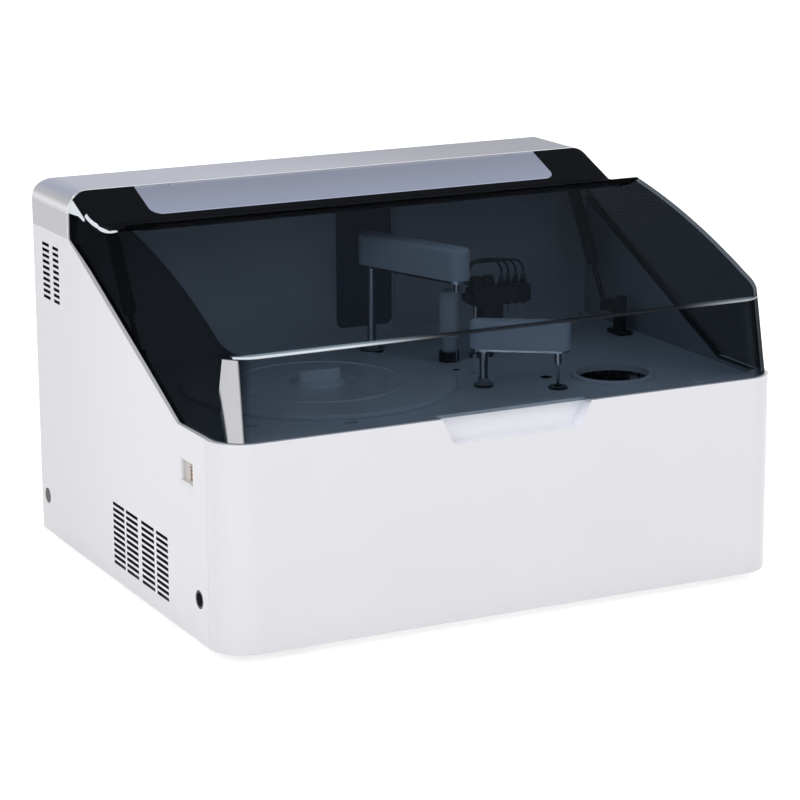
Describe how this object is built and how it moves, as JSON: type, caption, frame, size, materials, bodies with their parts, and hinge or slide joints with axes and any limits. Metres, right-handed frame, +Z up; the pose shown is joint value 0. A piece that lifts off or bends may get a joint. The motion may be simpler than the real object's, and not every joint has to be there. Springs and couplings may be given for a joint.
{
  "type": "benchtop chemistry analyzer",
  "caption": "White benchtop chemistry analyzer with a tinted hinged lid over a reagent carousel, a cuvette ring, a sampling arm, a stirring arm and a washing head.",
  "frame": {"origin": "on the bench under the middle of the housing", "axes": "+Z up, -Y towards the front, +X to the right seen from the front"},
  "size_m": [0.7, 0.56, 0.447],
  "materials": {
    "panel_white": "gloss",
    "hood_silver": "satin",
    "lid_tint": "clear dark tint",
    "plate_silver": "satin",
    "black_plastic": "matt",
    "deck_grey": "satin",
    "liner_grey": "matt",
    "window_dark": "gloss",
    "arm_grey": "satin",
    "steel": "brushed",
    "chrome": "polished",
    "rubber": "matt",
    "clear_plastic": "translucent",
    "cup_plastic": "clear",
    "bottle_plastic": "translucent",
    "cover_grey": "satin",
    "rear_grey": "powder coat",
    "board_green": "satin",
    "hose": "matt"
  },
  "bodies": {
    "housing": {"front_panel": "panel_white", "right_side_panel": "panel_white", "left_side_panel": "panel_white", "rear_panel": "rear_grey", "top_hood": "hood_silver", "chassis_tray": "steel", "feet": "rubber", "usb_socket": "black_plastic", "side_plugs": "black_plastic", "lid_rest_tab": "panel_white", "hinge_brackets": "steel", "deck_plate": "deck_grey", "chamber_liners": "liner_grey", "inner_wall": "liner_grey", "rear_window": "window_dark", "rear_cover_plate": "deck_grey", "deck_screws": "steel", "deck_collars": "black_plastic", "deck_wells": "black_plastic", "viewing_rim": "cover_grey", "rinse_column": "clear_plastic", "strut_posts": "black_plastic", "reagent_tub": "liner_grey", "ring_bowl": "black_plastic", "photometer": "black_plastic", "guide_rods": "chrome", "drive_motors": "black_plastic", "fan_frame": "black_plastic", "power_inlet": "black_plastic", "fluid_ports": "steel", "data_port": "steel", "power_supply": "steel", "control_board": "board_green"},
    "lid": {"lid_shell": "lid_tint", "lid_top_plate": "plate_silver", "lid_rear_band": "black_plastic", "lid_strut_lugs": "steel"},
    "strut_rod_r": {"strut_rod_right": "chrome"},
    "strut_cylinder_r": {"strut_cylinder_right": "black_plastic"},
    "strut_rod_l": {"strut_rod_left": "chrome"},
    "strut_cylinder_l": {"strut_cylinder_left": "black_plastic"},
    "carousel": {"carousel_tray": "black_plastic", "reagent_bottles": "bottle_plastic"},
    "cover": {"carousel_cover": "cover_grey"},
    "ring": {"cuvette_ring": "black_plastic", "cuvettes": "cup_plastic", "ring_knob": "black_plastic"},
    "probe_lift": {"probe_lift_block": "steel"},
    "probe": {"probe_arm_housing": "arm_grey", "probe_shaft": "chrome", "probe_needle": "chrome"},
    "mixer_lift": {"mixer_lift_block": "steel"},
    "mixer": {"mixer_arm_housing": "arm_grey", "mixer_shaft": "chrome"},
    "stirrer_spindle": {"stirrer": "chrome"},
    "wash": {"wash_head": "black_plastic", "wash_needles": "chrome", "wash_tubes": "hose"},
    "fan": {"fan_wheel": "black_plastic"},
    "rocker": {"power_switch_rocker": "black_plastic"}
  },
  "joints": [
    {"name": "lid_hinge", "type": "hinge", "parent": "housing", "child": "lid", "pos_m": [0, 0.1585, 0.4437], "axis": [-1, 0, 0], "range_deg": [0, 50]},
    {"name": "strut_tilt_r", "type": "hinge", "parent": "housing", "child": "strut_rod_r", "pos_m": [0.308, 0.0463, 0.2679], "axis": [1, 0, 0], "range_deg": [-0.5, 9]},
    {"name": "strut_stroke_r", "type": "slide", "parent": "strut_rod_r", "child": "strut_cylinder_r", "axis": [0, 0.5183, 0.8552], "range_m": [-0.0005, 0.016]},
    {"name": "strut_tilt_l", "type": "hinge", "parent": "housing", "child": "strut_rod_l", "pos_m": [-0.308, 0.0463, 0.2679], "axis": [1, 0, 0], "range_deg": [-0.5, 9]},
    {"name": "strut_stroke_l", "type": "slide", "parent": "strut_rod_l", "child": "strut_cylinder_l", "axis": [0, 0.5183, 0.8552], "range_m": [-0.0005, 0.016]},
    {"name": "carousel_turn", "type": "hinge", "parent": "housing", "child": "carousel", "pos_m": [-0.128, -0.049, 0.1315], "axis": [0, 0, 1], "continuous": true},
    {"name": "cover_lift_off", "type": "slide", "parent": "housing", "child": "cover", "axis": [0, 0, 1], "range_m": [0, 0.08]},
    {"name": "ring_turn", "type": "hinge", "parent": "housing", "child": "ring", "pos_m": [0.15, -0.1, 0.165], "axis": [0, 0, 1], "continuous": true},
    {"name": "probe_lift", "type": "slide", "parent": "housing", "child": "probe_lift", "axis": [0, 0, 1], "range_m": [-0.07, 0]},
    {"name": "probe_swing", "type": "hinge", "parent": "probe_lift", "child": "probe", "pos_m": [0.003, 0.08, 0.15], "axis": [0, 0, 1], "range_deg": [-24.2, 12]},
    {"name": "mixer_lift", "type": "slide", "parent": "housing", "child": "mixer_lift", "axis": [0, 0, 1], "range_m": [-0.028, 0]},
    {"name": "mixer_swing", "type": "hinge", "parent": "mixer_lift", "child": "mixer", "pos_m": [0.038, -0.138, 0.15], "axis": [0, 0, 1], "range_deg": [0, 38]},
    {"name": "stirrer_spin", "type": "hinge", "parent": "mixer", "child": "stirrer_spindle", "pos_m": [0.10813, -0.18602, 0.26], "axis": [0, 0, 1], "continuous": true},
    {"name": "wash_head_lift", "type": "slide", "parent": "housing", "child": "wash", "axis": [0, 0, 1], "range_m": [-0.017, 0]},
    {"name": "fan_spin", "type": "hinge", "parent": "housing", "child": "fan", "pos_m": [0.06, 0.262, 0.15], "axis": [0, 1, 0], "continuous": true},
    {"name": "power_rocker", "type": "hinge", "parent": "housing", "child": "rocker", "pos_m": [0.205, 0.273, 0.06], "axis": [1, 0, 0], "range_deg": [-9, 9]}
  ],
  "couplings": [
    {"joint": "strut_tilt_r", "follows": "lid_hinge", "ratio": 0.139},
    {"joint": "strut_stroke_r", "follows": "lid_hinge", "m_per_rad": 0.0162},
    {"joint": "strut_tilt_l", "follows": "lid_hinge", "ratio": 0.139},
    {"joint": "strut_stroke_l", "follows": "lid_hinge", "m_per_rad": 0.0162}
  ]
}
